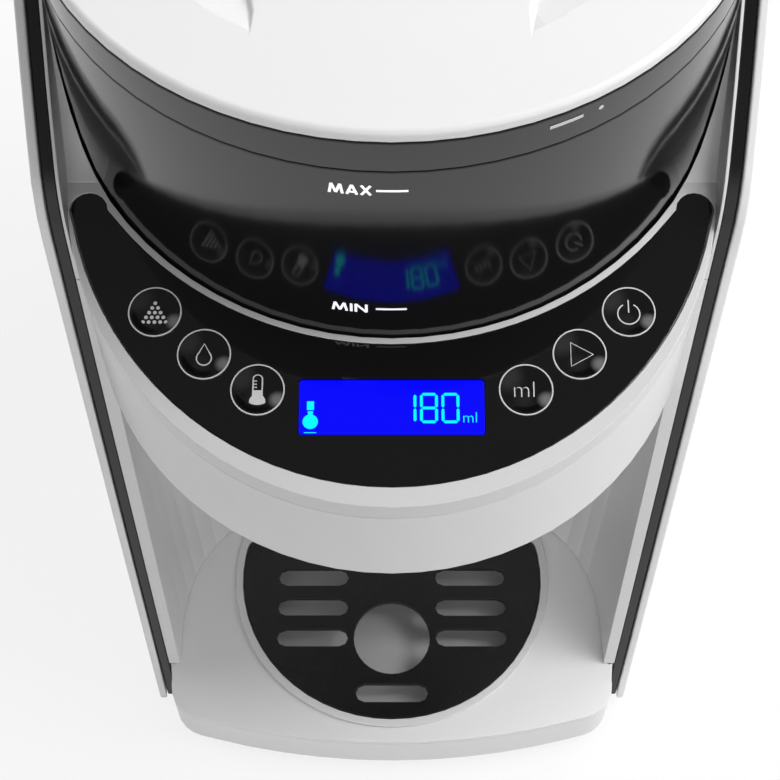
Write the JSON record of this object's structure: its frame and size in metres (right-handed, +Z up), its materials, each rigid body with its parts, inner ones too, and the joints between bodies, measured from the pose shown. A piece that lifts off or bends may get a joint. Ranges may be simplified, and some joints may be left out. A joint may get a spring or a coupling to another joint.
{
  "type": "baby formula maker",
  "caption": "Counter-top baby formula maker: heats water, measures powder with a turning wheel and mixes both into a bottle under its head. Lids, tank, funnel, drip tray and keys move.",
  "frame": {"origin": "on the counter, under the middle of the machine, which is also the axis of the round powder container", "axes": "+Z up, -Y the front with the control panel, +X to the right of someone facing the machine's front"},
  "size_m": [0.2448, 0.34, 0.35],
  "materials": {
    "white_shell": "satin white",
    "pale_shell": "satin light grey",
    "black_trim": "gloss black",
    "panel_glass": "polished black",
    "smoked": "smoked, see-through",
    "clear_tank": "clear",
    "display": "lit blue",
    "grey_plastic": "grey",
    "foot_rubber": "matt",
    "silicone": "translucent white",
    "steel": "brushed",
    "brass": "plain",
    "circuit": "green board"
  },
  "bodies": {
    "machine": {"base_pan": "white_shell", "base_deck": "white_shell", "foot_1": "foot_rubber", "foot_2": "foot_rubber", "foot_3": "foot_rubber", "foot_4": "foot_rubber", "base_screw_1": "steel", "base_screw_2": "steel", "base_screw_3": "steel", "base_screw_4": "steel", "main_housing": "pale_shell", "side_panel_left": "white_shell", "side_panel_right": "white_shell", "trim_left": "black_trim", "trim_right": "black_trim", "container_cradle": "pale_shell", "cradle_floor": "pale_shell", "head_bowl": "pale_shell", "panel_bezel": "pale_shell", "control_glass": "panel_glass", "lcd_window": "display", "lcd_module": "grey_plastic", "control_board": "circuit", "motor_bracket": "steel", "gear_motor": "steel", "drive_bush": "brass", "powder_chute": "smoked", "water_nozzle": "steel", "rear_cover": "white_shell", "power_inlet": "black_trim", "dock_seat": "silicone", "feed_tube": "silicone", "water_pump": "grey_plastic", "pump_tube": "silicone", "heater_tank": "steel", "hot_tube": "silicone", "power_board": "circuit"},
    "container": {"powder_container": "smoked", "container_floor": "smoked"},
    "wheel": {"measuring_wheel": "grey_plastic", "stirrer": "pale_shell"},
    "seal": {"lid_seal": "silicone"},
    "lid": {"lid_top": "white_shell", "lid_ring": "smoked"},
    "gear": {"drive_gear": "grey_plastic"},
    "pinion": {"motor_pinion": "brass"},
    "funnel": {"mixing_funnel": "smoked", "funnel_holder": "pale_shell"},
    "tray": {"drip_tray": "pale_shell"},
    "cover": {"tray_cover": "black_trim"},
    "tank": {"water_tank": "clear_tank", "hinge_pin": "steel"},
    "tank_flap": {"tank_lid": "smoked"},
    "valve": {"tank_valve": "grey_plastic"},
    "powder_button": {"powder_key": "panel_glass"},
    "water_button": {"water_key": "panel_glass"},
    "temperature_button": {"temperature_key": "panel_glass"},
    "unit_button": {"unit_key": "panel_glass"},
    "start_button": {"start_key": "panel_glass"},
    "power_button": {"power_key": "panel_glass"}
  },
  "joints": [
    {"name": "container_lift", "type": "slide", "parent": "machine", "child": "container", "axis": [0, 0, 1], "range_m": [0, 0.11]},
    {"name": "wheel_spin", "type": "hinge", "parent": "container", "child": "wheel", "pos_m": [0, 0, 0.247], "axis": [0, 0, 1], "continuous": true},
    {"name": "gear_spin", "type": "hinge", "parent": "machine", "child": "gear", "pos_m": [0, 0, 0.2258], "axis": [0, 0, 1], "continuous": true},
    {"name": "pinion_spin", "type": "hinge", "parent": "machine", "child": "pinion", "pos_m": [0, 0.03, 0.2258], "axis": [0, 0, 1], "continuous": true},
    {"name": "lid_lift", "type": "slide", "parent": "container", "child": "seal", "axis": [0, 0, 1], "range_m": [0, 0.08]},
    {"name": "lid_twist", "type": "hinge", "parent": "seal", "child": "lid", "pos_m": [0, 0, 0.34], "axis": [0, 0, 1], "range_deg": [0, 25]},
    {"name": "funnel_slide", "type": "slide", "parent": "machine", "child": "funnel", "axis": [0, -1, 0], "range_m": [0, 0.065]},
    {"name": "tray_lift", "type": "slide", "parent": "machine", "child": "tray", "axis": [0, 0, 1], "range_m": [0, 0.05]},
    {"name": "cover_lift", "type": "slide", "parent": "tray", "child": "cover", "axis": [0, 0, 1], "range_m": [0, 0.05]},
    {"name": "tank_lift", "type": "slide", "parent": "machine", "child": "tank", "axis": [0, 0, 1], "range_m": [0, 0.15]},
    {"name": "tank_lid_hinge", "type": "hinge", "parent": "tank", "child": "tank_flap", "pos_m": [0, 0.168, 0.33275], "axis": [-1, 0, 0], "range_deg": [0, 95]},
    {"name": "valve_slide", "type": "slide", "parent": "tank", "child": "valve", "axis": [0, 0, 1], "range_m": [0, 0.003], "stiffness_N_per_m": 200},
    {"name": "powder_button_press", "type": "slide", "parent": "machine", "child": "powder_button", "axis": [0, 0.1675, -0.9859], "range_m": [0, 0.001], "stiffness_N_per_m": 600},
    {"name": "water_button_press", "type": "slide", "parent": "machine", "child": "water_button", "axis": [0, 0.1675, -0.9859], "range_m": [0, 0.001], "stiffness_N_per_m": 600},
    {"name": "temperature_button_press", "type": "slide", "parent": "machine", "child": "temperature_button", "axis": [0, 0.1675, -0.9859], "range_m": [0, 0.001], "stiffness_N_per_m": 600},
    {"name": "unit_button_press", "type": "slide", "parent": "machine", "child": "unit_button", "axis": [0, 0.1675, -0.9859], "range_m": [0, 0.001], "stiffness_N_per_m": 600},
    {"name": "start_button_press", "type": "slide", "parent": "machine", "child": "start_button", "axis": [0, 0.1675, -0.9859], "range_m": [0, 0.001], "stiffness_N_per_m": 600},
    {"name": "power_button_press", "type": "slide", "parent": "machine", "child": "power_button", "axis": [0, 0.1675, -0.9859], "range_m": [0, 0.001], "stiffness_N_per_m": 600}
  ],
  "couplings": [
    {"joint": "gear_spin", "follows": "wheel_spin", "ratio": 1},
    {"joint": "pinion_spin", "follows": "wheel_spin", "ratio": -3}
  ]
}
